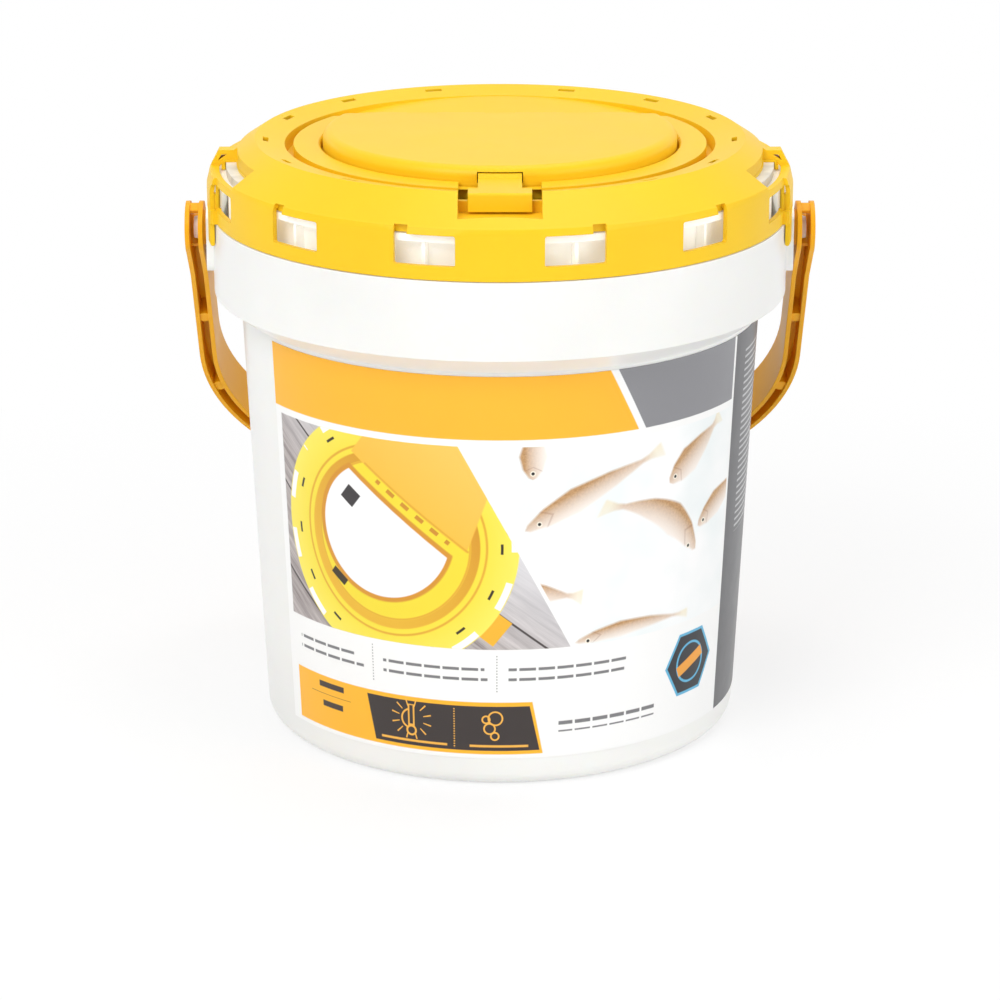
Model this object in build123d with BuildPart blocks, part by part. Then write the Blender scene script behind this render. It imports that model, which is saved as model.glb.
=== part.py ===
"""Aerated bait bucket: insulated pail, lid with a hinged door over a battery aerator, bail handle.

Millimetres. The origin is the centre of the foot ring on the ground. +Z is up, -Y is the latch side,
and the handle pivots lie on a line along X.
"""
from build123d import *
import math
import os

os.makedirs("parts", exist_ok=True)

# ---------------------------------------------------------------- driving dimensions, pail
overlap = 1.0               # how far a feature runs into the one that carries it
foot_radius = 109.0         # outside of the wall where it would meet the ground
wall_slope = 2.7            # degrees, the pail widens upwards
pail_wall = 2.4
foot_round = 7.0            # bottom edge
foot_recess = 1.5           # the floor is raised inside the foot ring
foot_ring_width = 6.0
pail_floor = 2.6
bowl_height = 195.2         # where the collar's bowl leaves the wall
bowl_corner = 203.7         # where the bowl would meet the collar's face
collar_radius = 130.4
collar_wall = 2.2
collar_height = 238.2
bowl_round = 7.0
bowl_root = 2.5
rim_radius = 126.4
rim_height = 257.3
rim_thickness = 3.3
rim_rib_count = 12
rim_rib_first = 15.0        # degrees round from +X
rim_rib_inset = 1.2
liner_corner = 4.0
rim_rib_thickness = 1.8
rim_rib_length = 28.0

# ---------------------------------------------------------------- driving dimensions, liner and label
liner_floor = 18.0
liner_foot_radius = 87.5
liner_mouth_radius = 94.5
liner_height = 243.0
liner_gap = 0.3
label_low = 14.0
label_high = 193.5
label_start = -58.5         # degrees round from the latch side
label_end = 126.0
label_thickness = 0.3
label_gap = 0.05

# ---------------------------------------------------------------- driving dimensions, handle pivots
pivot_height = 230.0
pad_width = 34.0
pad_low = 213.0
pad_high = 242.0
pad_face = 132.7
pad_root = 5.0              # depth of the pad inside the collar
pad_round = 4.0
lug_width = 30.0
lug_round = 1.9
lug_top = 256.5
lug_inset = 1.0             # lug's face inside the collar's face
lug_thickness = 4.0
pin_radius = 4.2
pin_head_radius = 5.3
pin_head_thickness = 2.0
pin_head_taper = 12.0       # degrees
pin_head_gap = 0.4
pin_clearance = 0.07

# ---------------------------------------------------------------- driving dimensions, lid
lid_wall = 2.4
skirt_radius = 130.0
skirt_low = 238.6
shoulder_radius = 129.0
shoulder_height = 261.0
shoulder_drop = 2.6         # from the shoulder down to the straight skirt
crease_radius = 110.8
lid_top = 273.0              # at the crease, the flange slopes down from there to the moat
ring_top = 270.2            # ring between the moat and the door
moat_outer_radius = 97.4
moat_inner_radius = 93.4
moat_depth = 6.0
moat_draft = 0.8
door_opening_radius = 81.1
seat_height = 265.4
plug_radius = 115.6
plug_depth = 10.0
gasket_inner_radius = 118.9
gasket_outer_radius = 123.9
gasket_height = 3.9
gasket_side_gap = 0.4
gasket_land = 1.5           # width of the step inside the gasket
gasket_lip_radius = 126.1    # outside of the lip around the gasket
rim_gap = 0.5               # between that lip and the pail's rim
snap_clearance = 0.4
bead_arc = 6.0              # degrees, each snap bead
bead_drop = 3.4             # beads' lower edge under the rim's underside
bead_slant = 1.2
bead_land = 1.0
bead_height = 3.0
bead_root = 0.4
window_pitch = 28.7         # degrees
window_width = 27.0
window_low = 244.7
window_high = 258.0
opening_low = 259.7         # openings beside the ears' straps
opening_root = 118.7
notch_width = 6.0
notch_rise = 3.5
window_round = 1.0
window_depth = 4.6          # the windows are cut from this far inside the skirt's face
beside_drop = 2.0           # windows beside the ears end this far under the ears' chamfer
opening_sill = 1.2
slot_count = 7              # on each side
slot_first = 12.5           # degrees round from the latch
slot_pitch = 25.0
slot_radius = 105.9
slot_length = 8.0
slot_width = 2.4
ear_radius = 132.8
ear_half_angle = 13.0
ear_wall = 2.0
ear_shoulder = 127.4
ear_top = 266.6
ear_root = 118.0
ear_wall_top = 260.6
strap_half_angle = 1.7      # degrees, the strap over the pivot
ear_chamfer_low = 258.5
ear_chamfer = 1.2
ear_bevel = 5.0
ear_lean = 2.2              # the wall's top edge inside its face
ear_end = 0.8               # degrees, end walls
ear_web = 2.0               # degrees, webs to the skirt
ear_web_inset = 1.8
ear_foot_arc = 2.4
ear_root_inset = 0.2
ear_roof_lean = 1.4
tab_gap = 1.6               # between the tabs and the pad
lug_side_gap = 0.8
tab_low = 228.0
tab_width = 9.0
tunnel_gap = 1.0

# ---------------------------------------------------------------- driving dimensions, latch
channel_half_width = 17.9
channel_floor = 263.0
channel_back = 106.0
channel_front = 122.8
recess_floor = 268.0
recess_back = 77.0
well_inner = 12.6           # wells on both sides of the tongue, across and lengthwise
well_near = 85.0
well_far = 103.4
tongue_half_width = 9.5
tongue_thickness = 2.2
tongue_low = 270.0
tongue_side_gap = 0.4
root_height = 3.7
root_length = 2.6
root_slant = 0.8
lip_half_width = 13.7
lip_reach = 110.0
lip_length = 10.0
lip_thickness = 2.2
lip_depth = 8.2
hook_half_width = 8.8
hook_hole_half_width = 9.6
hook_hole_far = 90.4
hook_hole_near = 85.6
hook_clearance = 1.4
hook_thickness = 2.0
barb_gap = 0.5
barb_height = 3.2
barb_land = 0.8
lip_round = 1.2

# ---------------------------------------------------------------- driving dimensions, door
door_top = 276.5
door_gap = 0.9
door_wall = 2.5
door_round = 4.4
door_seat_gap = 0.3
chord = 29.0                # straight edge of the door, behind the centre
hinge_offset = 3.6          # hinge line behind the straight edge
hinge_drop = 3.9            # hinge line below the door's top
knuckle_radius = 3.4
hinge_pin_radius = 1.5
hinge_pin_clearance = 0.06
knuckle_pitch = 36.0
lid_knuckle_width = 13.0
door_knuckle_end = 62.0
knuckle_gap = 0.4
knuckle_stem = 5.2
ramp_foot = 52.0
ramp_foot_height = 266.0
ramp_drop = 0.2

# ---------------------------------------------------------------- driving dimensions, aerator
pit_radius = 78.0
pit_flat = 12.6
pit_corner = 13.0
pit_low = 216.6
pit_wall = 2.2
aerator_side_gap = 1.6
aerator_wall = 2.2
aerator_joint = 258.1
cover_top = 264.2
seal_thickness = 1.5
seal_width = 2.0
cell_radius = 17.1
cell_length = 61.5
cell_gap = 0.4
motor_radius = 10.2
motor_length = 25.4
motor_offset = 42.0
motor_height = 240.6
motor_face = 1.4
shaft_radius = 1.0
shaft_clearance = 0.06
crank_radius = 4.5
crank_throw = 1.5
crank_pin_radius = 1.5
pump_radius = 11.0
pump_height = 7.6
pump_station = 13.0
pump_wall = 3.0
pump_bowl = 4.0
diaphragm_thickness = 1.4
diaphragm_inset = 0.4
diaphragm_boss = 3.2
diaphragm_boss_height = 2.2
pump_ring_width = 4.6
pump_ring_height = 1.6
link_width = 3.6
link_gap = 0.4
link_wall = 1.6
nozzle_radius = 2.6
nozzle_bore = 1.3
nozzle_low = 203.0
nozzle_hole_gap = 0.6
nozzle_fit = 0.1
nozzle_collar = 2.0
barb_step = 0.6
barb_pitch = 3.0
cover_wall = 2.2
cover_round = 1.8
screw_radius = 1.5
screw_length = 16.0
screw_head_radius = 3.1
screw_head_height = 1.6
screw_sink = 2.0
screw_clearance = 0.06
screw_head_gap = 0.3
boss_wall = 2.6
cradle_rib = 2.0
cradle_stations = (-46.0, -16.0, 16.0, 46.0)
switch_size = 13.0
switch_x = -50.0
switch_y = -9.0
switch_proud = 1.2
switch_gap = 0.35
switch_round = 0.8
switch_chamfer = 0.6
well_wall = 1.2
well_floor = 1.2
well_margin = 1.3           # between the button's body and the well
flange_margin = 0.9
flange_height = 1.2
flange_gap = 0.2
nub_length = 1.5
nub_radius = 4.8
contact_width = 16.0
contact_height = 18.0
contact_thickness = 0.5
contact_gap = 0.8           # between the cell's end and the flat contact
spring_length = 2.6
spring_outer = 7.4
spring_inner = 5.4
spring_taper = 24.0         # degrees
motor_nose_radius = 3.0
motor_nose = 1.5
motor_fit = 0.05
shaft_length = 19.0
crank_gap = 3.6
crank_thickness = 3.0
cradle_wall = 2.0
cradle_length = 13.0
cradle_inset = 6.0

# ---------------------------------------------------------------- driving dimensions, handle
rest_lean = 37.8            # degrees back from hanging straight down
handle_thickness = 8.1      # across the leg, along X
handle_width = 22.3
handle_setback = 6.3        # the bail's middle lies this far behind the pivot
flange_thickness = 2.1
web_thickness = 2.0
leg_inner = 134.8
leg_length = 91.9
corner_radius = 99.7        # inside of the corner
eye_radius = 12.0
eye_pad_radius = 8.0
eye_pad_face = 133.2
eye_taper = 30.0            # below the pivot the leg has its full width
end_rib = 10.0
end_rib_width = 5.0
first_rib = 8.0
handle_rib_pitch = 55.5
handle_rib_thickness = 2.0
handle_rib_inset = 0.8
handle_pad_radius = 3.2


def wall_radius(height):
    """Outside radius of the pail's wall."""
    return foot_radius + height * math.tan(math.radians(wall_slope))


def inner_radius(height):
    """Inside radius of the pail's wall."""
    return wall_radius(height) - pail_wall


def radial_plane(angle):
    """Plane through Z with its x axis at an angle round from +X and its y axis up."""
    turn = math.radians(angle)
    return Plane(
        origin=(0, 0, 0),
        x_dir=(math.cos(turn), math.sin(turn), 0),
        z_dir=(math.sin(turn), -math.cos(turn), 0),
    )


def facing_plane(angle, radius, height):
    """Plane that looks outwards, at an angle round from +X, with its y axis up."""
    turn = math.radians(angle)
    return Plane(
        origin=(radius * math.cos(turn), radius * math.sin(turn), height),
        x_dir=(-math.sin(turn), math.cos(turn), 0),
        z_dir=(math.cos(turn), math.sin(turn), 0),
    )


def d_profile(radius, flat, corner, height):
    """Sketch of a disc cut straight at y = flat, its two corners rounded."""
    half_chord = math.sqrt(radius**2 - flat**2)
    with BuildSketch(Plane.XY.offset(height)) as outline:
        Circle(radius)
        with Locations((0, flat - radius)):
            Rectangle(2.2 * radius, 2 * radius, mode=Mode.INTERSECT)
        corners = outline.vertices()
        ends = [corners.sort_by_distance((side * half_chord, flat))[0] for side in (-1, 1)]
        fillet(ends, radius=corner)
    return outline.sketch


# ---------------------------------------------------------------- pail
floor_top = foot_recess + pail_floor
bowl_slope = (bowl_corner - bowl_height) / (collar_radius - wall_radius(bowl_height))
pocket_rise = collar_wall * math.sqrt(1 + bowl_slope**2)
pocket_low = bowl_height + pocket_rise
pocket_corner = bowl_corner - bowl_slope * collar_wall + pocket_rise
with BuildPart() as bucket_shell:
    with BuildSketch(Plane.XZ) as pail_section:
        with BuildLine():
            Polyline(
                (0, foot_recess),
                (foot_radius - foot_round - foot_ring_width, foot_recess),
                (foot_radius - foot_round - foot_ring_width + foot_recess, 0),
                (foot_radius, 0),
                (wall_radius(bowl_height), bowl_height),
                (collar_radius, bowl_corner),
                (collar_radius, collar_height),
                (collar_radius - collar_wall, collar_height),
                (collar_radius - collar_wall, pocket_corner),
                (wall_radius(pocket_low), pocket_low),
                (wall_radius(rim_height - rim_thickness), rim_height - rim_thickness),
                (rim_radius, rim_height - rim_thickness),
                (rim_radius, rim_height),
                (inner_radius(rim_height), rim_height),
                (inner_radius(floor_top), floor_top),
                (0, floor_top),
                close=True,
            )
        make_face()
        corners = pail_section.vertices()
        fillet(corners.sort_by_distance((foot_radius, 0))[0], radius=foot_round)
        fillet(
            corners.sort_by_distance((wall_radius(bowl_height), bowl_height))[0], radius=bowl_root
        )
        fillet(corners.sort_by_distance((collar_radius, bowl_corner))[0], radius=bowl_round)
        fillet(
            corners.sort_by_distance((collar_radius - collar_wall, pocket_corner))[0],
            radius=bowl_round - collar_wall,
        )
        fillet(corners.sort_by_distance((inner_radius(floor_top), floor_top))[0], radius=liner_corner)
    revolve(axis=Axis.Z)
    rib_inner = inner_radius(rim_height) + rim_rib_inset
    rib_outer = rim_radius - rim_rib_inset
    rib_middle = rim_height - rim_thickness + overlap - rim_rib_length / 2
    with Locations((0, 0, rib_middle)):
        with PolarLocations((rib_inner + rib_outer) / 2, rim_rib_count, start_angle=rim_rib_first):
            Box(rib_outer - rib_inner, rim_rib_thickness, rim_rib_length)
    for side in (-1, 1):
        with BuildSketch(Plane.YZ.offset(side * (collar_radius - pad_root))):
            with Locations((0, (pad_low + pad_high) / 2)):
                RectangleRounded(pad_width, pad_high - pad_low, pad_round)
        extrude(amount=side * (pad_face - collar_radius + pad_root))
        with BuildSketch(Plane.YZ.offset(side * (collar_radius - lug_inset - lug_thickness))):
            with Locations((0, (pad_high - pad_round + lug_top) / 2)):
                RectangleRounded(lug_width, lug_top - pad_high + pad_round, lug_round)
        extrude(amount=side * lug_thickness)
        with BuildSketch(Plane.YZ.offset(side * (pad_face - overlap))):
            with Locations((0, pivot_height)):
                Circle(pin_radius)
        head_start = leg_inner + flange_thickness + pin_head_gap
        extrude(amount=side * (head_start - pad_face + overlap + pin_head_thickness))
        with BuildSketch(Plane.YZ.offset(side * head_start)):
            with Locations((0, pivot_height)):
                Circle(pin_head_radius)
        extrude(amount=side * pin_head_thickness, taper=pin_head_taper)
bucket_shell.part.label = "bucket_shell"
export_step(bucket_shell.part, "parts/bucket_shell.step")

# ---------------------------------------------------------------- foam liner and label
with BuildPart() as foam_liner:
    with BuildSketch(Plane.XZ) as liner_section:
        with BuildLine():
            Polyline(
                (0, floor_top),
                (inner_radius(floor_top) - liner_gap, floor_top),
                (inner_radius(liner_height) - liner_gap, liner_height),
                (liner_mouth_radius, liner_height),
                (liner_foot_radius, floor_top + liner_floor),
                (0, floor_top + liner_floor),
                close=True,
            )
        make_face()
        corners = liner_section.vertices()
        fillet(
            corners.sort_by_distance((inner_radius(floor_top) - liner_gap, floor_top))[0], radius=6
        )
        fillet(
            corners.sort_by_distance((liner_foot_radius, floor_top + liner_floor))[0], radius=9
        )
        fillet(corners.sort_by_distance((liner_mouth_radius, liner_height))[0], radius=liner_corner)
    revolve(axis=Axis.Z)
foam_liner.part.label = "foam_liner"
export_step(foam_liner.part, "parts/foam_liner.step")

with BuildPart() as wrap_label:
    with BuildSketch(radial_plane(label_start - 90)):
        with BuildLine():
            Polyline(
                (wall_radius(label_low) + label_gap, label_low),
                (wall_radius(label_low) + label_gap + label_thickness, label_low),
                (wall_radius(label_high) + label_gap + label_thickness, label_high),
                (wall_radius(label_high) + label_gap, label_high),
                close=True,
            )
        make_face()
    revolve(axis=Axis.Z, revolution_arc=label_end - label_start)
wrap_label.part.label = "wrap_label"
export_step(wrap_label.part, "parts/wrap_label.step")

# ---------------------------------------------------------------- lid
cone_slope = (lid_top - shoulder_height) / (shoulder_radius - crease_radius)
cone_wall = lid_wall * math.sqrt(1 + cone_slope**2)
moat_floor = ring_top - moat_depth
ring_slope = (lid_top - ring_top) / (crease_radius - moat_outer_radius)
skirt_inner = skirt_radius - lid_wall
gasket_top = rim_height + gasket_height
hinge_y = chord + hinge_offset
hinge_z = door_top - hinge_drop
ear_inner = ear_radius - ear_wall


def cone_height(radius):
    """Height of the lid's sloping flange."""
    return lid_top - (radius - crease_radius) * cone_slope


window_angles = []
for middle in (-90, 90):
    for step in (-2.5, -1.5, -0.5, 0.5, 1.5, 2.5):
        window_angles.append((middle + step * window_pitch, math.copysign(1, step), abs(step) > 2))
lid_knuckles = [-knuckle_pitch, 0, knuckle_pitch]
channel_half_angle = math.degrees(math.atan((channel_half_width + lid_wall) / channel_back))

with BuildPart() as back_ramp:
    with BuildSketch(Plane.YZ):
        with BuildLine():
            Polyline(
                (ramp_foot, seat_height - 1.1 * overlap),
                (ramp_foot, ramp_foot_height),
                (moat_outer_radius, ring_top - ramp_drop),
                (moat_outer_radius, seat_height - 1.1 * overlap),
                close=True,
            )
        make_face()
    extrude(amount=moat_outer_radius, both=True)
    with Locations((0, 0, ring_top)):
        Cylinder(moat_outer_radius, 40, mode=Mode.INTERSECT)

with BuildPart() as lid_ring:
    with BuildSketch(Plane.XZ) as lid_section:
        with BuildLine():
            Polyline(
                (0, seat_height),
                (door_opening_radius, seat_height),
                (door_opening_radius, ring_top),
                (moat_inner_radius, ring_top),
                (moat_inner_radius, moat_floor),
                (moat_outer_radius - moat_draft, moat_floor),
                (moat_outer_radius, ring_top),
                (crease_radius, lid_top),
                (shoulder_radius, shoulder_height),
                (skirt_radius, shoulder_height - shoulder_drop),
                (skirt_radius, skirt_low),
                (skirt_inner, skirt_low),
                (skirt_inner, cone_height(skirt_inner) - cone_wall),
                (crease_radius - 0.7, lid_top - lid_wall),
                (moat_outer_radius + lid_wall, ring_top + lid_wall * (ring_slope - 1)),
                (moat_outer_radius + lid_wall - moat_draft, moat_floor - lid_wall),
                (moat_inner_radius - lid_wall, moat_floor - lid_wall),
                (moat_inner_radius - lid_wall, ring_top - lid_wall),
                (door_opening_radius + lid_wall, ring_top - lid_wall),
                (door_opening_radius + lid_wall, seat_height - lid_wall),
                (0, seat_height - lid_wall),
                close=True,
            )
        make_face()
        corners = lid_section.vertices()
        fillet(corners.sort_by_distance((door_opening_radius, ring_top))[0], radius=1.2)
        fillet(corners.sort_by_distance((moat_inner_radius, ring_top))[0], radius=1.6)
        fillet(corners.sort_by_distance((moat_outer_radius, ring_top))[0], radius=0.8)
        fillet(corners.sort_by_distance((shoulder_radius, shoulder_height))[0], radius=2.5)
        with BuildLine():
            Polyline(
                (gasket_inner_radius - gasket_land, gasket_top),
                (gasket_outer_radius + gasket_side_gap, gasket_top),
                (gasket_outer_radius + gasket_side_gap, rim_height + rim_gap),
                (gasket_lip_radius, rim_height + rim_gap),
                (gasket_lip_radius, cone_height(gasket_lip_radius) - overlap),
                (gasket_inner_radius - gasket_land, cone_height(gasket_inner_radius) - overlap),
                close=True,
            )
        make_face()
        with BuildLine():
            Polyline(
                (plug_radius - lid_wall, rim_height - plug_depth),
                (plug_radius, rim_height - plug_depth),
                (plug_radius, cone_height(plug_radius) - overlap),
                (plug_radius - lid_wall, cone_height(plug_radius) - overlap),
                close=True,
            )
        make_face()
    revolve(axis=Axis.Z)
    # snap beads under the pail's rim, between the windows
    bead_low = rim_height - rim_thickness - bead_drop
    for middle in (-90, 90):
        for step in (-2, -1, 0, 1, 2):
            with BuildSketch(radial_plane(middle + step * window_pitch - bead_arc / 2)):
                with BuildLine():
                    Polyline(
                        (skirt_inner + bead_root, bead_low),
                        (rim_radius + snap_clearance, bead_low + bead_slant),
                        (rim_radius + snap_clearance, bead_low + bead_slant + bead_land),
                        (skirt_inner + bead_root, bead_low + bead_height),
                        close=True,
                    )
                make_face()
            revolve(axis=Axis.Z, revolution_arc=bead_arc)
    # handle ears
    for middle in (0, 180):
        with BuildSketch(radial_plane(middle - ear_half_angle)):
            with BuildLine():
                Polyline(
                    (ear_radius - ear_lean, ear_wall_top),
                    (ear_radius - ear_chamfer, ear_chamfer_low),
                    (ear_radius, ear_chamfer_low - ear_bevel),
                    (ear_radius, skirt_low),
                    (ear_inner, skirt_low),
                    (ear_inner, ear_chamfer_low - ear_bevel),
                    (ear_inner - ear_chamfer, ear_chamfer_low),
                    (ear_inner - ear_lean, ear_wall_top),
                    close=True,
                )
            make_face()
        revolve(axis=Axis.Z, revolution_arc=2 * ear_half_angle)
    # the pit that the aerator sits in
    extrude(
        d_profile(pit_radius + pit_wall, pit_flat + pit_wall, pit_corner + pit_wall, pit_low),
        amount=seat_height - overlap - pit_low,
    )
    extrude(
        d_profile(pit_radius, pit_flat, pit_corner, pit_low + pit_wall),
        amount=lid_top - pit_low,
        mode=Mode.SUBTRACT,
    )
    # solid around the latch channel
    block_radius = gasket_lip_radius - overlap
    with BuildSketch(radial_plane(-90 - channel_half_angle)):
        with BuildLine():
            Polyline(
                (well_far, ring_top),
                (crease_radius, lid_top - overlap),
                (block_radius, cone_height(block_radius) - overlap),
                (block_radius, gasket_top),
                (well_far, gasket_top),
                close=True,
            )
        make_face()
    revolve(axis=Axis.Z, revolution_arc=2 * channel_half_angle)
    # behind the hinge a ramp rises to the flange, across the ring and the moat
    with BuildSketch(Plane.XY.offset(seat_height - overlap)):
        Circle(moat_outer_radius)
        with Locations((0, ramp_foot - moat_outer_radius)):
            Rectangle(2 * moat_outer_radius, 2 * moat_outer_radius, mode=Mode.SUBTRACT)
    extrude(amount=moat_depth, mode=Mode.SUBTRACT)
    add(back_ramp.part)
    # hinge knuckles
    for station in lid_knuckles:
        with Locations((station, hinge_y, (hinge_z + seat_height - overlap) / 2)):
            Box(lid_knuckle_width, knuckle_stem, hinge_z - seat_height + overlap)
        with Locations((station, hinge_y, hinge_z)):
            Cylinder(knuckle_radius, lid_knuckle_width, rotation=(0, 90, 0))
    with Locations((0, hinge_y, hinge_z)):
        Cylinder(
            hinge_pin_radius + hinge_pin_clearance,
            2 * knuckle_pitch + 2 * lid_knuckle_width,
            rotation=(0, 90, 0),
            mode=Mode.SUBTRACT,
        )
    # openings under the cone's edge from the strap to the window beside it, then the strap
    beside_reach = 90 - 2.5 * window_pitch + math.degrees(math.asin(window_width / 2 / skirt_radius))
    for middle in (0, 180):
        for start, stop in ((-beside_reach, -strap_half_angle), (strap_half_angle, beside_reach)):
            with BuildSketch(radial_plane(middle + start)):
                with BuildLine():
                    Polyline(
                        (opening_root, gasket_top + opening_sill),
                        (gasket_lip_radius - overlap, gasket_top + opening_sill),
                        (gasket_lip_radius - overlap, opening_low),
                        (ear_radius + overlap, opening_low),
                        (ear_radius + overlap, lid_top),
                        (opening_root, lid_top),
                        close=True,
                    )
                make_face()
            revolve(axis=Axis.Z, revolution_arc=stop - start, mode=Mode.SUBTRACT)
        with BuildSketch(radial_plane(middle - strap_half_angle)):
            with BuildLine():
                Polyline(
                    (ear_root, ear_top),
                    (ear_shoulder, ear_top),
                    (ear_radius - ear_chamfer, ear_chamfer_low),
                    (ear_inner - ear_chamfer, ear_chamfer_low),
                    (ear_shoulder - ear_roof_lean, ear_top - ear_wall),
                    (ear_root, ear_top - ear_wall),
                    close=True,
                )
            make_face()
        revolve(axis=Axis.Z, revolution_arc=2 * strap_half_angle)
    # windows in the skirt, each with a notch at the end away from the latch
    for angle, outer, beside_ear in window_angles:
        top = ear_chamfer_low - beside_drop if beside_ear else window_high
        with BuildSketch(facing_plane(angle, skirt_radius - window_depth, 0)):
            with Locations((0, (window_low + top) / 2)):
                RectangleRounded(window_width, top - window_low, window_round)
            if not beside_ear:
                with Locations((outer * (window_width - notch_width) / 2, window_high)):
                    Rectangle(notch_width, 2 * notch_rise)
        extrude(amount=2 * window_depth, mode=Mode.SUBTRACT)
    # slots in the flat ring
    with BuildSketch(Plane.XY.offset(lid_top + overlap)):
        for side in (-1, 1):
            for step in range(slot_count):
                turn = math.radians(side * (slot_first + step * slot_pitch) - 90)
                spot = (slot_radius * math.cos(turn), slot_radius * math.sin(turn), 0)
                with Locations(Location(spot, (0, 0, math.degrees(turn)))):
                    Rectangle(slot_width, slot_length)
    extrude(amount=-2 * lid_wall - overlap, mode=Mode.SUBTRACT)
    # recess under the tongue, channel for the lip, the two wells and the hook's hole
    for low, near, far in (
        (recess_floor, recess_back, channel_back),
        (channel_floor, channel_back, channel_front),
    ):
        with BuildSketch(Plane.XY.offset(low)):
            with Locations((0, -(near + far) / 2)):
                Rectangle(2 * channel_half_width, far - near)
        extrude(amount=lid_top + overlap - low, mode=Mode.SUBTRACT)
    with BuildSketch(Plane.XY.offset(moat_floor - 2 * lid_wall)):
        for side in (-1, 1):
            with Locations((side * (well_inner + channel_half_width) / 2, -(well_near + well_far) / 2)):
                Rectangle(channel_half_width - well_inner, well_far - well_near)
    extrude(amount=lid_top - moat_floor, mode=Mode.SUBTRACT)
    with BuildSketch(Plane.XY.offset(ring_top - 2 * lid_wall)):
        with Locations((0, -(hook_hole_far + hook_hole_near) / 2)):
            Rectangle(2 * hook_hole_half_width, hook_hole_far - hook_hole_near)
    extrude(amount=2 * lid_wall, mode=Mode.SUBTRACT)
    # ears: room for the pail's lug and pad, end walls, tabs and the slit above
    for middle in (0, 180):
        room_inner = gasket_outer_radius + lug_side_gap
        with BuildSketch(radial_plane(middle - ear_half_angle + ear_end)):
            with Locations(((room_inner + ear_inner) / 2, (skirt_low + lug_top) / 2)):
                Rectangle(ear_inner - room_inner, lug_top - skirt_low + 2 * lug_side_gap)
        revolve(axis=Axis.Z, revolution_arc=2 * (ear_half_angle - ear_end), mode=Mode.SUBTRACT)
        for side in (-1, 1):
            wall_angle = middle + side * (ear_half_angle - ear_web_inset) - ear_web / 2
            with BuildSketch(radial_plane(wall_angle)):
                with BuildLine():
                    Polyline(
                        (skirt_inner + ear_root_inset, skirt_low),
                        (ear_inner + overlap, skirt_low),
                        (ear_inner + overlap, ear_chamfer_low - ear_bevel - overlap),
                        (skirt_radius - overlap, ear_chamfer_low - ear_bevel - 2 * overlap),
                        (skirt_radius - overlap, window_low + overlap),
                        (skirt_inner + ear_root_inset, window_low),
                        close=True,
                    )
                make_face()
            revolve(axis=Axis.Z, revolution_arc=ear_web)
            foot_angle = middle + side * (ear_half_angle - ear_end) - ear_foot_arc / 2
            with BuildSketch(radial_plane(foot_angle)):
                with Locations(((skirt_inner + ear_radius) / 2, (skirt_low + window_low) / 2)):
                    Rectangle(ear_radius - skirt_inner - overlap, window_low - skirt_low)
            revolve(axis=Axis.Z, revolution_arc=ear_foot_arc)
            tab_offset = pad_width / 2 + tab_gap + tab_width / 2
            tab_angle = math.degrees(math.asin(tab_offset / ear_radius))
            tab_arc = math.degrees(tab_width / ear_radius)
            with BuildSketch(radial_plane(middle + side * tab_angle - tab_arc / 2)) as tab:
                with Locations(((ear_inner + ear_radius) / 2, (tab_low + skirt_low + overlap) / 2)):
                    Rectangle(ear_wall, skirt_low + overlap - tab_low)
                fillet(tab.vertices().group_by(Axis.Y)[0], radius=0.45 * ear_wall)
            revolve(axis=Axis.Z, revolution_arc=tab_arc)
        with BuildSketch(facing_plane(middle, skirt_radius - window_depth, 0)):
            with Locations((0, (tab_low + pad_high + tunnel_gap) / 2)):
                Rectangle(pad_width + 2 * tunnel_gap, pad_high + tunnel_gap - tab_low)
        extrude(amount=2 * window_depth, mode=Mode.SUBTRACT)
    # hole for the air outlet
    with Locations((pump_station, -motor_offset, pit_low)):
        Cylinder(nozzle_radius + nozzle_hole_gap, 4 * pit_wall, mode=Mode.SUBTRACT)
lid_ring.part.label = "lid_ring"
export_step(lid_ring.part, "parts/lid_ring.step")

with BuildPart() as lid_gasket:
    with BuildSketch(Plane.XZ):
        with Locations(((gasket_inner_radius + gasket_outer_radius) / 2, rim_height + gasket_height / 2)):
            Rectangle(gasket_outer_radius - gasket_inner_radius, gasket_height)
    revolve(axis=Axis.Z)
lid_gasket.part.label = "lid_gasket"
export_step(lid_gasket.part, "parts/lid_gasket.step")

with BuildPart() as hinge_pin:
    with Locations((0, hinge_y, hinge_z)):
        Cylinder(hinge_pin_radius, 2 * door_knuckle_end, rotation=(0, 90, 0))
hinge_pin.part.label = "hinge_pin"
export_step(hinge_pin.part, "parts/hinge_pin.step")

# ---------------------------------------------------------------- door and latch
door_radius = door_opening_radius - door_gap
door_low = seat_height + door_seat_gap
tongue_top = tongue_low + tongue_thickness
tongue_root = door_radius - 1.8
root_radius = root_height / 2
knuckle_edges = [-door_knuckle_end]
for station in lid_knuckles:
    knuckle_edges.append(station - lid_knuckle_width / 2 - knuckle_gap)
    knuckle_edges.append(station + lid_knuckle_width / 2 + knuckle_gap)
knuckle_edges.append(door_knuckle_end)

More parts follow.
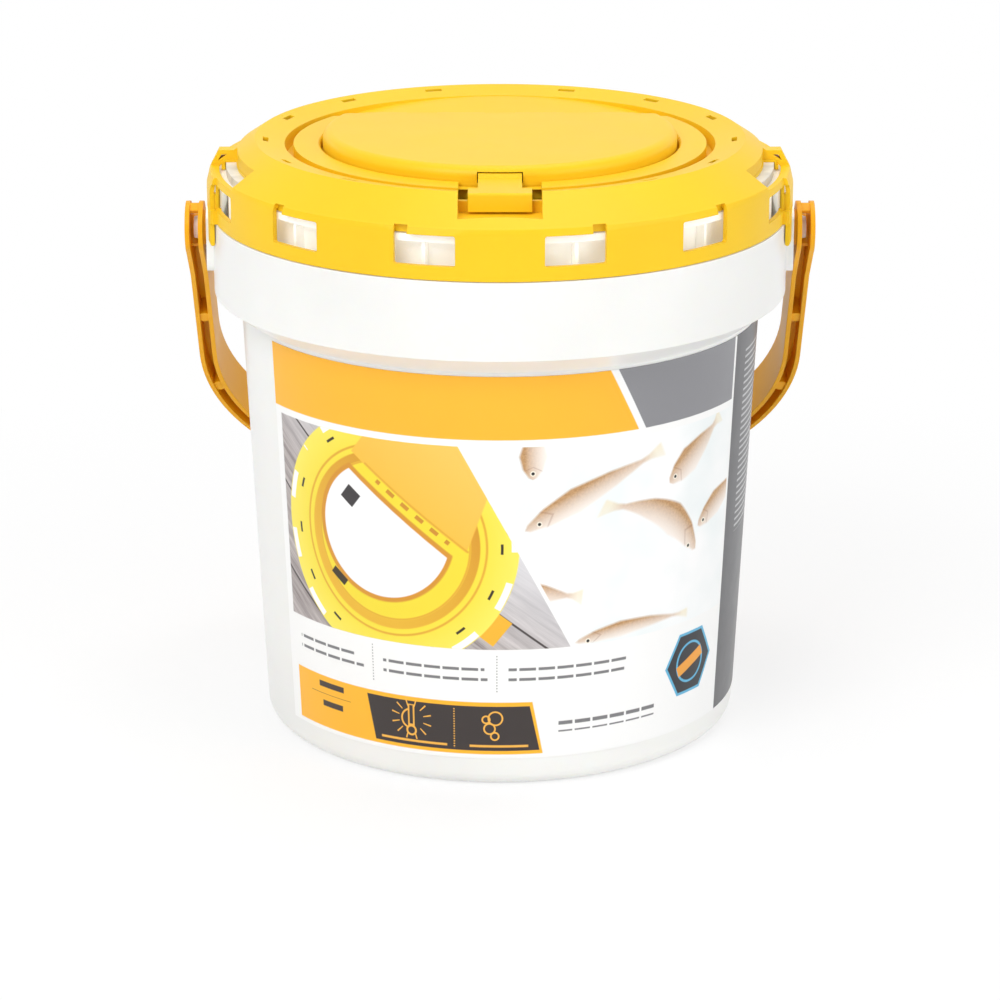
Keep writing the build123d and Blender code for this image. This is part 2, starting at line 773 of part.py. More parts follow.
with BuildPart() as access_door:
    with BuildSketch(Plane.XZ) as door_section:
        with BuildLine():
            Polyline(
                (0, door_top),
                (door_radius, door_top),
                (door_radius, door_low),
                (door_radius - door_wall, door_low),
                (door_radius - door_wall, door_top - door_wall),
                (0, door_top - door_wall),
                close=True,
            )
        make_face()
        corners = door_section.vertices()
        fillet(corners.sort_by_distance((door_radius, door_top))[0], radius=door_round)
        inner_corner = (door_radius - door_wall, door_top - door_wall)
        fillet(corners.sort_by_distance(inner_corner)[0], radius=door_round - door_wall + overlap / 2)
    revolve(axis=Axis.Z)
    with Locations((0, chord + door_radius / 2, door_top)):
        Box(2.2 * door_radius, door_radius, 40, mode=Mode.SUBTRACT)
    wall_low = door_low + overlap / 2
    wall_high = door_top - door_wall + overlap / 2
    with Locations((0, chord - door_wall / 2, (wall_low + wall_high) / 2)):
        Box(2 * math.sqrt((door_radius - door_wall / 2) ** 2 - chord**2), door_wall, wall_high - wall_low)
    for start, stop in zip(knuckle_edges[::2], knuckle_edges[1::2]):
        arm = hinge_y - chord + door_wall
        with Locations(((start + stop) / 2, hinge_y - arm / 2, hinge_z + overlap / 2)):
            Box(stop - start, arm, 2 * knuckle_radius - overlap)
        with Locations(((start + stop) / 2, hinge_y, hinge_z)):
            Cylinder(knuckle_radius, stop - start, rotation=(0, 90, 0))
    with Locations((0, hinge_y, hinge_z)):
        Cylinder(
            hinge_pin_radius + hinge_pin_clearance,
            2 * (door_knuckle_end + overlap),
            rotation=(0, 90, 0),
            mode=Mode.SUBTRACT,
        )
    # slot in the wall for the root of the latch tongue
    slot_inner = tongue_root - root_radius - tongue_side_gap
    slot_outer = door_radius + overlap
    with Locations((0, -(slot_inner + slot_outer) / 2, tongue_low + root_radius)):
        Box(
            2 * (tongue_half_width + tongue_side_gap),
            slot_outer - slot_inner,
            root_height + 2.5 * tongue_side_gap,
            mode=Mode.SUBTRACT,
        )
access_door.part.label = "access_door"
export_step(access_door.part, "parts/access_door.step")

hook_face = hook_hole_far - hook_clearance
hook_back = hook_face - hook_thickness
barb_tip = hook_hole_near + barb_gap
barb_top = ring_top - lid_wall - barb_gap
barb_low = barb_top - barb_height
root_front = tongue_root + root_length
with BuildPart() as latch_tongue:
    with BuildSketch(Plane.YZ):
        with BuildLine():
            Polyline(
                (-tongue_root, tongue_low),
                (-lip_reach + overlap, tongue_low),
                (-lip_reach + overlap, tongue_top),
                (-root_front - root_slant, tongue_top),
                (-root_front, tongue_low + root_height),
                (-tongue_root, tongue_low + root_height),
                close=True,
            )
        make_face()
        with Locations((-tongue_root, tongue_low + root_radius)):
            Circle(root_radius)
    extrude(amount=tongue_half_width, both=True)
    with BuildSketch(Plane.YZ):
        with BuildLine():
            Polyline(
                (-hook_back, tongue_low + overlap),
                (-hook_back, barb_top),
                (-barb_tip, barb_top - barb_land),
                (-hook_back, barb_low),
                (-hook_face, barb_low),
                (-hook_face, tongue_low + overlap),
                close=True,
            )
        make_face()
    extrude(amount=hook_half_width, both=True)
    with BuildSketch(Plane.YZ) as lip:
        with BuildLine():
            Polyline(
                (-lip_reach + lip_length, tongue_low),
                (-lip_reach + lip_thickness, tongue_low),
                (-lip_reach + lip_thickness, tongue_top - lip_depth),
                (-lip_reach, tongue_top - lip_depth),
                (-lip_reach, tongue_top),
                (-lip_reach + lip_length, tongue_top),
                close=True,
            )
        make_face()
        fillet(lip.vertices().sort_by_distance((-lip_reach, tongue_top))[0], radius=lip_round)
    extrude(amount=lip_half_width, both=True)
latch_tongue.part.label = "latch_tongue"
export_step(latch_tongue.part, "parts/latch_tongue.step")

# ---------------------------------------------------------------- aerator housing
base_low = pit_low + pit_wall
base_radius = pit_radius - aerator_side_gap
base_flat = pit_flat - aerator_side_gap
base_corner = pit_corner - aerator_side_gap
base_floor = base_low + aerator_wall
hollow_radius = base_radius - aerator_wall
hollow_flat = base_flat - aerator_wall
hollow_corner = base_corner - aerator_wall
cover_low = aerator_joint + seal_thickness
cell_y = hollow_flat - cell_gap - cell_radius
cell_z = base_floor + cell_gap + cell_radius
screw_spots = [(-56, -38), (56, -38), (-24, -65), (24, -65)]
boss_radius = screw_radius + boss_wall
contact_x = cell_length + contact_gap

with BuildPart() as aerator_base:
    extrude(
        d_profile(base_radius, base_flat, base_corner, base_low), amount=aerator_joint - base_low
    )
    extrude(
        d_profile(hollow_radius, hollow_flat, hollow_corner, base_floor),
        amount=aerator_joint,
        mode=Mode.SUBTRACT,
    )
    with BuildSketch(Plane.XY.offset(base_floor - overlap / 2)):
        with Locations(*screw_spots):
            Circle(boss_radius)
    extrude(amount=aerator_joint - base_floor + overlap / 2)
    # cradle ribs for the cells and a rib across each end for its contact
    cradle_top = cell_z - cell_radius / 2
    with BuildSketch(Plane.XY.offset(base_floor - overlap / 2)):
        for station in cradle_stations:
            with Locations((station, cell_y)):
                Rectangle(cradle_rib, 2 * (cell_radius - cradle_rib))
        end_rib_offset = contact_thickness + cradle_rib / 2
        spring_end = contact_x + spring_length + end_rib_offset
        with Locations((-spring_end, cell_y), (contact_x + end_rib_offset, cell_y)):
            Rectangle(cradle_rib, 2 * (cell_radius - 2 * cradle_rib))
    extrude(amount=cradle_top - base_floor + overlap / 2)
    with Locations((0, cell_y, cell_z)):
        Cylinder(cell_radius + cell_gap, 2 * cell_length, rotation=(0, 90, 0), mode=Mode.SUBTRACT)
    with Locations((pump_station, -motor_offset, base_low)):
        Cylinder(nozzle_radius + nozzle_fit, 3 * aerator_wall, mode=Mode.SUBTRACT)
    with BuildSketch(Plane.XY.offset(aerator_joint)):
        with Locations(*screw_spots):
            Circle(screw_radius + screw_clearance)
    extrude(amount=-screw_length, mode=Mode.SUBTRACT)
aerator_base.part.label = "aerator_base"
export_step(aerator_base.part, "parts/aerator_base.step")

with BuildPart() as aerator_seal:
    extrude(d_profile(base_radius, base_flat, base_corner, aerator_joint), amount=seal_thickness)
    inset = seal_width
    extrude(
        d_profile(base_radius - inset, base_flat - inset, base_corner - inset, aerator_joint),
        amount=seal_thickness,
        mode=Mode.SUBTRACT,
    )
aerator_seal.part.label = "aerator_seal"
export_step(aerator_seal.part, "parts/aerator_seal.step")

with BuildPart() as aerator_cover:
    extrude(d_profile(base_radius, base_flat, base_corner, cover_low), amount=cover_top - cover_low)
    fillet(aerator_cover.faces().sort_by(Axis.Z)[-1].edges(), radius=cover_round)
    extrude(
        d_profile(hollow_radius, hollow_flat, hollow_corner, cover_low),
        amount=cover_top - cover_wall - cover_low,
        mode=Mode.SUBTRACT,
    )
    with BuildSketch(Plane.XY.offset(aerator_joint + screw_clearance)):
        with Locations(*screw_spots):
            Circle(boss_radius)
    extrude(amount=cover_top - overlap - aerator_joint)
    with BuildSketch(Plane.XY.offset(aerator_joint)):
        with Locations((switch_x, switch_y)):
            Rectangle(switch_size, switch_size)
        with Locations(*screw_spots):
            Circle(screw_radius + screw_head_gap)
    extrude(amount=cover_top - aerator_joint, mode=Mode.SUBTRACT)
    with BuildSketch(Plane.XY.offset(cover_top)):
        with Locations(*screw_spots):
            Circle(screw_head_radius + screw_head_gap)
    extrude(amount=-screw_sink, mode=Mode.SUBTRACT)
aerator_cover.part.label = "aerator_cover"
export_step(aerator_cover.part, "parts/aerator_cover.step")

with BuildPart() as cover_screws:
    with BuildSketch(Plane.XY.offset(cover_top - screw_sink)):
        with Locations(*screw_spots):
            Circle(screw_head_radius)
    extrude(amount=screw_head_height)
    with BuildSketch(Plane.XY.offset(cover_top - screw_sink)):
        with Locations(*screw_spots):
            Circle(screw_radius)
    extrude(amount=-screw_length)
cover_screws.part.label = "cover_screws"
export_step(cover_screws.part, "parts/cover_screws.step")

# ---------------------------------------------------------------- switch
button_size = switch_size - 2 * switch_gap
button_low = cover_low + flange_gap
well_size = switch_size + 2 * well_margin
well_low = cell_z + cell_radius + cell_gap
well_top = cover_top - cover_wall
with BuildPart() as switch_well:
    with BuildSketch(Plane.XY.offset(well_low)):
        with Locations((switch_x, switch_y)):
            Rectangle(well_size + 2 * well_wall, well_size + 2 * well_wall)
    extrude(amount=well_top - well_low)
    with BuildSketch(Plane.XY.offset(well_low + well_floor)):
        with Locations((switch_x, switch_y)):
            Rectangle(well_size, well_size)
    extrude(amount=well_top, mode=Mode.SUBTRACT)
switch_well.part.label = "switch_well"
export_step(switch_well.part, "parts/switch_well.step")

with BuildPart() as switch_button:
    with BuildSketch(Plane.XY.offset(button_low)):
        with Locations((switch_x, switch_y)):
            RectangleRounded(button_size, button_size, switch_round)
    extrude(amount=cover_top + switch_proud - button_low)
    chamfer(switch_button.faces().sort_by(Axis.Z)[-1].edges(), length=switch_chamfer)
    with BuildSketch(Plane.XY.offset(button_low)):
        with Locations((switch_x, switch_y)):
            Rectangle(switch_size + 2 * flange_margin, switch_size + 2 * flange_margin)
    extrude(amount=flange_height)
switch_button.part.label = "switch_button"
export_step(switch_button.part, "parts/switch_button.step")

# ---------------------------------------------------------------- cells and contacts
with BuildPart() as batteries:
    for start in (-cell_length - cell_gap / 2, cell_gap / 2):
        with BuildSketch(Plane.YZ.offset(start)):
            with Locations((cell_y, cell_z)):
                Circle(cell_radius)
        extrude(amount=cell_length - nub_length)
        with BuildSketch(Plane.YZ.offset(start + cell_length - nub_length)):
            with Locations((cell_y, cell_z)):
                Circle(nub_radius)
        extrude(amount=nub_length)
batteries.part.label = "batteries"
export_step(batteries.part, "parts/batteries.step")

with BuildPart() as battery_contacts:
    with BuildSketch(Plane.YZ.offset(contact_x)):
        with Locations((cell_y, cell_z)):
            Rectangle(contact_width, contact_height)
    extrude(amount=contact_thickness)
    with BuildSketch(Plane.YZ.offset(-contact_x - spring_length - contact_thickness)):
        with Locations((cell_y, cell_z)):
            Rectangle(contact_width, contact_height)
    extrude(amount=contact_thickness)
    with BuildSketch(Plane.YZ.offset(-contact_x - spring_length)):
        with Locations((cell_y, cell_z)):
            Circle(spring_outer)
            Circle(spring_inner, mode=Mode.SUBTRACT)
    extrude(amount=spring_length + cell_gap, taper=spring_taper)
battery_contacts.part.label = "battery_contacts"
export_step(battery_contacts.part, "parts/battery_contacts.step")

# ---------------------------------------------------------------- motor and pump
with BuildPart() as motor:
    with BuildSketch(Plane.YZ.offset(motor_face)):
        with Locations((-motor_offset, motor_height)):
            Circle(motor_radius)
    extrude(amount=-motor_length)
    with BuildSketch(Plane.YZ.offset(motor_face)):
        with Locations((-motor_offset, motor_height)):
            Circle(motor_nose_radius)
    extrude(amount=motor_nose)
    with BuildSketch(Plane.YZ.offset(motor_face + motor_nose)):
        with Locations((-motor_offset, motor_height)):
            Circle(shaft_radius + shaft_clearance)
    extrude(amount=-(shaft_length + 2 * overlap), mode=Mode.SUBTRACT)
motor.part.label = "motor"
export_step(motor.part, "parts/motor.step")

crank_face = motor_face + crank_gap
eye_start = pump_station - link_width / 2
with BuildPart() as crank:
    with BuildSketch(Plane.YZ.offset(motor_face - shaft_length)):
        with Locations((-motor_offset, motor_height)):
            Circle(shaft_radius)
    extrude(amount=crank_face + overlap - motor_face + shaft_length)
    with BuildSketch(Plane.YZ.offset(crank_face)):
        with Locations((-motor_offset, motor_height)):
            Circle(crank_radius)
    extrude(amount=crank_thickness)
    with BuildSketch(Plane.YZ.offset(crank_face + overlap)):
        with Locations((-motor_offset, motor_height + crank_throw)):
            Circle(crank_pin_radius)
    extrude(amount=pump_station + link_width / 2 + overlap / 2 - crank_face - overlap)
crank.part.label = "crank"
export_step(crank.part, "parts/crank.step")

cradle_width = 2 * (motor_radius + cradle_wall)
with BuildPart() as motor_cradle:
    with BuildSketch(Plane.YZ.offset(motor_face - motor_length + cradle_inset)):
        with Locations((-motor_offset, (base_floor + motor_height) / 2)):
            Rectangle(cradle_width, motor_height - base_floor)
        with Locations((-motor_offset, motor_height)):
            Circle(cradle_width / 2)
            Circle(motor_radius + motor_fit, mode=Mode.SUBTRACT)
    extrude(amount=cradle_length)
motor_cradle.part.label = "motor_cradle"
export_step(motor_cradle.part, "parts/motor_cradle.step")

diaphragm_low = base_floor + pump_height
cap_low = diaphragm_low + diaphragm_thickness
link_foot = cap_low + diaphragm_boss_height
with BuildPart() as pump_chamber:
    with BuildSketch(Plane.XY.offset(base_floor)):
        with Locations((pump_station, -motor_offset)):
            Circle(pump_radius)
    extrude(amount=pump_height)
    with BuildSketch(Plane.XY.offset(diaphragm_low)):
        with Locations((pump_station, -motor_offset)):
            Circle(pump_radius - pump_wall)
    extrude(amount=-pump_bowl, mode=Mode.SUBTRACT)
    with Locations((pump_station, -motor_offset, base_floor)):
        Cylinder(nozzle_radius + nozzle_fit, 2 * (pump_height - pump_bowl) + overlap, mode=Mode.SUBTRACT)
pump_chamber.part.label = "pump_chamber"
export_step(pump_chamber.part, "parts/pump_chamber.step")

with BuildPart() as pump_diaphragm:
    with BuildSketch(Plane.XY.offset(diaphragm_low)):
        with Locations((pump_station, -motor_offset)):
            Circle(pump_radius - diaphragm_inset)
    extrude(amount=diaphragm_thickness)
    with BuildSketch(Plane.XY.offset(cap_low)):
        with Locations((pump_station, -motor_offset)):
            Circle(diaphragm_boss)
    extrude(amount=link_foot - cap_low)
pump_diaphragm.part.label = "pump_diaphragm"
export_step(pump_diaphragm.part, "parts/pump_diaphragm.step")

with BuildPart() as pump_ring:
    with BuildSketch(Plane.XY.offset(cap_low)):
        with Locations((pump_station, -motor_offset)):
            Circle(pump_radius)
            Circle(pump_radius - pump_ring_width, mode=Mode.SUBTRACT)
    extrude(amount=pump_ring_height)
pump_ring.part.label = "pump_ring"
export_step(pump_ring.part, "parts/pump_ring.step")

eye_inner = crank_throw + crank_pin_radius + link_gap
eye_outer = eye_inner + link_wall
with BuildPart() as pump_link:
    with BuildSketch(Plane.YZ.offset(eye_start)):
        with Locations((-motor_offset, motor_height)):
            Circle(eye_outer)
        with Locations((-motor_offset, (link_foot + motor_height - eye_inner) / 2)):
            Rectangle(link_width, motor_height - eye_inner - link_foot)
        with Locations((-motor_offset, motor_height)):
            Circle(eye_inner, mode=Mode.SUBTRACT)
    extrude(amount=link_width)
pump_link.part.label = "pump_link"
export_step(pump_link.part, "parts/pump_link.step")

with BuildPart() as outlet_nozzle:
    nozzle_top = base_floor + pump_height - pump_bowl - nozzle_fit
    barb_start = pit_low - nozzle_collar
    with BuildSketch(Plane.XZ) as nozzle_section:
        with BuildLine():
            outline = [(nozzle_bore, nozzle_top), (nozzle_radius, nozzle_top)]
            flange_radius = nozzle_radius + nozzle_collar
            outline += [(nozzle_radius, barb_start), (flange_radius, barb_start)]
            height = barb_start - 2 * barb_step
            outline += [(flange_radius, height)]
            while height - barb_pitch > nozzle_low:
                outline += [(nozzle_radius, height), (nozzle_radius - barb_step, height - barb_pitch)]
                height -= barb_pitch
            outline += [(nozzle_radius - barb_step, nozzle_low), (nozzle_bore, nozzle_low)]
            Polyline(*outline, close=True)
        make_face()
    revolve(axis=Axis.Z)
nozzle = outlet_nozzle.part.moved(Location((pump_station, -motor_offset, 0)))
nozzle.label = "outlet_nozzle"
export_step(nozzle, "parts/outlet_nozzle.step")

# ---------------------------------------------------------------- carry handle
lean = math.radians(rest_lean)
hang = Plane(
    origin=(0, 0, pivot_height),
    x_dir=(1, 0, 0),
    z_dir=(0, -math.cos(lean), -math.sin(lean)),
)
grip_inner = leg_length + corner_radius


def bail_region(grow, top):
    """Region inside the bail's outline, grown outwards from its inner face."""
    depth = grip_inner + grow
    with BuildSketch() as region:
        with Locations((0, (top - depth) / 2)):
            Rectangle(2 * (leg_inner + grow), top + depth)
        fillet(region.vertices().group_by(Axis.Y)[0], radius=corner_radius + grow)
    return region.sketch


leg_middle = leg_inner + handle_thickness / 2
bend_radius = corner_radius + handle_thickness / 2
bend_end = leg_length + bend_radius * math.pi / 2
rib_stations = []
travelled = first_rib
while travelled < bend_end + leg_middle - bend_radius:
    if travelled < leg_length:
        rib_stations.append((leg_middle, -travelled, 0))
    elif travelled < bend_end:
        turn = (travelled - leg_length) / bend_radius
        rib_x = leg_middle - bend_radius * (1 - math.cos(turn))
        rib_y = -leg_length - bend_radius * math.sin(turn)
        rib_stations.append((rib_x, rib_y, -math.degrees(turn)))
    else:
        rib_x = leg_middle - bend_radius - travelled + bend_end
        rib_stations.append((rib_x, -leg_length - bend_radius, -90))
    travelled += handle_rib_pitch

half_width = handle_width / 2
outer_flange = handle_thickness - flange_thickness
leg_front = handle_setback - half_width
leg_back = handle_setback + half_width
leg_foot = -(grip_inner + handle_thickness + overlap)
rib_width = handle_thickness - flange_thickness
bail_middle = hang.offset(-handle_setback)
beside = Plane(
    origin=(0, 0, pivot_height),
    x_dir=(0, math.cos(lean), math.sin(lean)),
    z_dir=(1, 0, 0),
)
with BuildPart() as carry_handle:
    for inner, outer in ((outer_flange, handle_thickness), (0, flange_thickness)):
        with BuildSketch(hang.offset(-leg_back)):
            add(bail_region(outer, eye_radius))
            add(bail_region(inner, eye_radius + overlap), mode=Mode.SUBTRACT)
        extrude(amount=leg_back + eye_radius)
    with BuildSketch(bail_middle):
        add(bail_region(outer_flange + overlap / 2, -first_rib))
        add(bail_region(flange_thickness - overlap / 2, 0), mode=Mode.SUBTRACT)
    extrude(amount=web_thickness / 2, both=True)
    with BuildSketch(bail_middle):
        for side in (-1, 1):
            for rib_x, rib_y, turn in rib_stations:
                with Locations(Location((side * rib_x, rib_y, 0), (0, 0, side * turn))):
                    Rectangle(rib_width, handle_rib_thickness)
            for rib_x, rib_y, turn in rib_stations[1:]:
                with Locations((side * rib_x, rib_y)):
                    Circle(handle_pad_radius)
    extrude(amount=half_width - handle_rib_inset, both=True)
    with BuildSketch(hang.offset(-handle_setback / 2)):
        for side in (-1, 1):
            with Locations((side * leg_middle, end_rib)):
                Rectangle(rib_width, handle_rib_thickness)
    extrude(amount=end_rib_width / 2, both=True)
    # the legs end in round eyes
    with BuildSketch(beside):
        Circle(eye_radius)
        with BuildLine():
            Polyline(
                (-eye_radius, 0),
                (leg_front, -eye_taper),
                (leg_front, leg_foot),
                (leg_back, leg_foot),
                (leg_back, -eye_taper),
                (eye_radius, 0),
                close=True,
            )
        make_face()
    extrude(amount=leg_inner + 2 * handle_thickness, both=True, mode=Mode.INTERSECT)
    for side in (-1, 1):
        with BuildSketch(Plane.YZ.offset(side * eye_pad_face)):
            with Locations((0, pivot_height)):
                Circle(eye_pad_radius)
        extrude(amount=side * (leg_inner + overlap - eye_pad_face))
        with BuildSketch(Plane.YZ.offset(side * (eye_pad_face - overlap))):
            with Locations((0, pivot_height)):
                Circle(pin_radius + pin_clearance)
        extrude(amount=side * (head_start + overlap - eye_pad_face), mode=Mode.SUBTRACT)
carry_handle.part.label = "carry_handle"
export_step(carry_handle.part, "parts/carry_handle.step")
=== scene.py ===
"""Aerated bait bucket: moulded plastics, printed wrap label, bead foam, rubber and steel, in a plain studio.

Metres, +Z up, -Y is the latch side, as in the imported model.
"""
import bpy
import math
import numpy as np
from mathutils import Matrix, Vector


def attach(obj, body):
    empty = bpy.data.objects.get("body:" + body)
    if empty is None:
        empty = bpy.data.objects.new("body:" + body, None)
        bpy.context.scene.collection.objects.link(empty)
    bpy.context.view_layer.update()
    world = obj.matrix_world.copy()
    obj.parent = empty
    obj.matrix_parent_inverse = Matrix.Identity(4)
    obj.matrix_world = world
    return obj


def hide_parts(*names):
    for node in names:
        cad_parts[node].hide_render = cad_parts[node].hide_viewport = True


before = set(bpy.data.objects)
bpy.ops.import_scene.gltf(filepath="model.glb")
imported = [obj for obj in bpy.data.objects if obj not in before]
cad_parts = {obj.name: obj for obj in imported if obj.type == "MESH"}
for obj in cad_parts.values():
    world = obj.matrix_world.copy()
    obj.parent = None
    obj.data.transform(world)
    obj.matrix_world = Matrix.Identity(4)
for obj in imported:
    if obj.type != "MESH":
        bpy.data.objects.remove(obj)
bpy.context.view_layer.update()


# ------------------------------------------------------------------ shader language

class Value:
    """A node's output. Arithmetic on it adds Math nodes to the same finish."""

    def __init__(self, finish, socket):
        self.finish = finish
        self.socket = socket

    def math(self, operation, *others):
        return self.finish.node("Math", {"operation": operation}, dict(enumerate((self, *others))))

    def __add__(self, other):
        return self.math("ADD", other)

    def __sub__(self, other):
        return self.math("SUBTRACT", other)

    def __rsub__(self, other):
        return (self * -1.0).math("ADD", other)

    def __mul__(self, other):
        return self.math("MULTIPLY", other)

    def __truediv__(self, other):
        return self.math("DIVIDE", other)

    def __pow__(self, other):
        return self.math("POWER", other)

    def most(self, other):
        return self.math("MAXIMUM", other)

    def size(self):
        return self.math("ABSOLUTE")

    def ramp(self, start, stop):
        """0 at start and 1 at stop, straight between and level beyond."""
        return self.finish.node("MapRange", None, {"Value": self, "From Min": start, "From Max": stop})

    def over(self, line, soft):
        """0 below the line and 1 above it, over a width of soft."""
        return self.ramp(line - soft / 2, line + soft / 2)

    def under(self, line, soft):
        """1 below the line and 0 above it, over a width of soft."""
        return self.ramp(line + soft / 2, line - soft / 2)

    def near(self, line, half, soft):
        """1 within half of the line and 0 beyond, over a width of soft."""
        return (self - line).size().under(half, soft)

    def dashes(self, period, share, soft):
        """1 over the first share of every period."""
        return (self / period).math("FRACT").under(share, soft)

    def beats(self, period, half, soft):
        """1 round the middle of every period, up to half to each side as a share of the period."""
        return (self / period).math("FRACT").near(0.5, half, soft)


class Finish:
    """A material in the making. node() adds any node and returns its first output."""

    def __init__(self, name):
        self.material = bpy.data.materials.new(name)
        self.material.use_nodes = True
        self.tree = self.material.node_tree
        self.tree.nodes.clear()
        self.place = self.node("TexCoord", output="Object")

    def node(self, kind, settings=None, inputs=None, output=0):
        made = self.tree.nodes.new("ShaderNode" + kind)
        for key, value in (settings or {}).items():
            if key == "stops":
                self.set_stops(made.color_ramp, value)
            else:
                setattr(made, key, value)
        for key, value in (inputs or {}).items():
            if isinstance(value, Value):
                self.tree.links.new(value.socket, made.inputs[key])
            else:
                made.inputs[key].default_value = value
        return Value(self, made.outputs[output])

    def set_stops(self, ramp, stops):
        while len(ramp.elements) < len(stops):
            ramp.elements.new(1.0)
        for element, (position, colour) in zip(ramp.elements, stops):
            element.position = position
            element.color = colour

    def axis(self, letter):
        """One Object coordinate, in metres."""
        return self.node("SeparateXYZ", None, {0: self.place}, letter)

    def noise(self, scale, detail=3.0, rough=0.5, place=None):
        inputs = {"Vector": place or self.place, "Scale": scale, "Detail": detail, "Roughness": rough}
        return self.node("TexNoise", None, inputs)

    def cells(self, scale, feature="F1"):
        inputs = {"Vector": self.place, "Scale": scale}
        return self.node("TexVoronoi", {"feature": feature}, inputs, "Distance")

    def blend(self, factor, under, over):
        """Colour under where factor is 0 and over where it is 1."""
        inputs = {0: factor, 6: under, 7: over}
        return self.node("Mix", {"data_type": "RGBA", "clamp_factor": True}, inputs, 2)

    def bump(self, height, depth, normal=None):
        """Normal of a surface raised by height, which runs from 0 to 1, times depth in metres."""
        inputs = {"Strength": 1.0, "Distance": depth, "Height": height}
        if normal is not None:
            inputs["Normal"] = normal
        return self.node("Bump", None, inputs, "Normal")

    def rounded(self, radius):
        """Normal with every sharp edge eased to a small radius."""
        return self.node("Bevel", {"samples": 6}, {"Radius": radius}, "Normal")

    def done(self, **sockets):
        """Ends the finish with a Principled surface that has these sockets."""
        named = {key.replace("_", " "): value for key, value in sockets.items()}
        shader = self.node("BsdfPrincipled", None, named)
        end = self.tree.nodes.new("ShaderNodeOutputMaterial")
        self.tree.links.new(shader.socket, end.inputs["Surface"])
        return self.material


def ink(red, green, blue):
    """Linear colour of a printed 0-255 colour."""
    parts = []
    for part in (red, green, blue):
        share = part / 255
        parts.append(share / 12.92 if share <= 0.04045 else ((share + 0.055) / 1.055) ** 2.4)
    return (*parts, 1.0)


def scaled(colour, factor, lift=0.0):
    """A colour with its parts times factor plus lift."""
    return (*(part * factor + lift for part in colour[:3]), 1.0)


# ------------------------------------------------------------------ finishes of the moulded pieces

BLACK = (0.0, 0.0, 0.0, 1.0)


def moulded(name, colour, roughness=0.34, grain=0.00003, glow=0.0, edge=0.0005, sheen=0.5, painted_glow_band=None):
    """Injection moulded plastic: faint flow clouds in the colour, a fine skin and eased edges.

    sheen is the mirror level. The last argument is a band of heights where the surface glows with painted
    light,
    brightening a shaded recess: low, high and the glow's colour.
    """
    finish = Finish(name)
    painted_glow = {}
    # painted glow: emission across a band of heights, standing in for light in a shaded recess
    if painted_glow_band:
        low, high, light = painted_glow_band
        fade = 0.002
        height = finish.axis("Z")
        share = height.over(low, fade) * height.under(high, fade)
        painted_glow = {"Emission_Color": finish.blend(share, BLACK, light), "Emission_Strength": 1.0}
    clouds = finish.noise(14.0, 2.0)
    skin = finish.noise(1600.0, 2.0, 0.6)
    ripple = finish.noise(60.0, 2.0, 0.4)
    shade = finish.blend(clouds.over(0.5, 0.5), scaled(colour, 0.93), colour)
    normal = finish.bump(skin, grain, finish.rounded(edge))
    normal = finish.bump(ripple, 3 * grain, normal)
    by_clouds, by_ripple = 0.06, 0.05
    return finish.done(
        Base_Color=shade,
        Roughness=clouds * by_clouds + ripple * by_ripple + (roughness - (by_clouds + by_ripple) / 2),
        Normal=normal,
        Subsurface_Weight=glow,
        Subsurface_Radius=(1.0, 0.45, 0.1),
        Subsurface_Scale=0.0025,
        Specular_IOR_Level=sheen,
        **painted_glow,
    )


def bead_foam():
    """Moulded bead foam: closed cells pressed together, each a little darker at its border."""
    finish = Finish("bead_foam")
    beads_in_metre = 300.0
    beads = finish.cells(beads_in_metre)
    border = finish.cells(beads_in_metre, "DISTANCE_TO_EDGE")
    shade = finish.blend(border.over(0.05, 0.1), ink(206, 207, 203), ink(244, 244, 240))
    return finish.done(Base_Color=shade, Roughness=0.82, Normal=finish.bump(beads * -1.0 + 1.0, 0.0003))


def rubber(name, colour):
    """Soft rubber with a fine matt skin and pale dust."""
    finish = Finish(name)
    skin = finish.noise(900.0, 3.0)
    dust = finish.noise(70.0, 3.0)
    shade = finish.blend(dust.over(0.6, 0.4), colour, scaled(colour, 1.5, 0.01))
    return finish.done(Base_Color=shade, Roughness=dust * 0.15 + 0.62, Normal=finish.bump(skin, 0.00006))


def metal(name, colour, roughness):
    """Plain metal, drawn or turned, with fine lines along X and faint handling marks."""
    finish = Finish(name)
    stretched = finish.node("Mapping", None, {"Vector": finish.place, "Scale": (0.03, 1.0, 1.0)})
    streaks = finish.noise(1200.0, 2.0, 0.5, stretched)
    marks = finish.noise(90.0, 3.0)
    shade = finish.blend(marks.over(0.5, 0.5), scaled(colour, 0.8), colour)
    by_streaks, by_marks = 0.16, 0.08
    return finish.done(
        Base_Color=shade,
        Metallic=1.0,
        Roughness=streaks * by_streaks + marks * by_marks + (roughness - (by_streaks + by_marks) / 2),
        Normal=finish.bump(streaks, 0.00002, finish.rounded(0.0002)),
    )


def cell_sleeve():
    """Dark sleeve of two cells in line along X: an amber band near each end and bare steel rims.

    away runs from 0 at the middle of a cell to its length at its ends.
    """
    finish = Finish("cell_sleeve")
    length, band_start, band_stop, rim_start, soft = 0.0617, 0.036, 0.050, 0.0575, 0.0004
    reach = finish.axis("X").size()
    away = (reach * 2.0 - length).size()
    band = away.over(band_start, soft) * away.under(band_stop, soft)
    steel = away.over(rim_start, soft)
    scuffs = finish.noise(220.0, 3.0)
    shade = finish.blend(band, ink(52, 55, 60), ink(214, 150, 40))
    shade = finish.blend(steel, shade, ink(178, 178, 180))
    return finish.done(
        Base_Color=shade,
        Metallic=steel * 0.9,
        Roughness=scuffs * 0.14 + 0.26,
        Normal=finish.bump(scuffs, 0.00003),
    )


# ------------------------------------------------------------------ the printed label

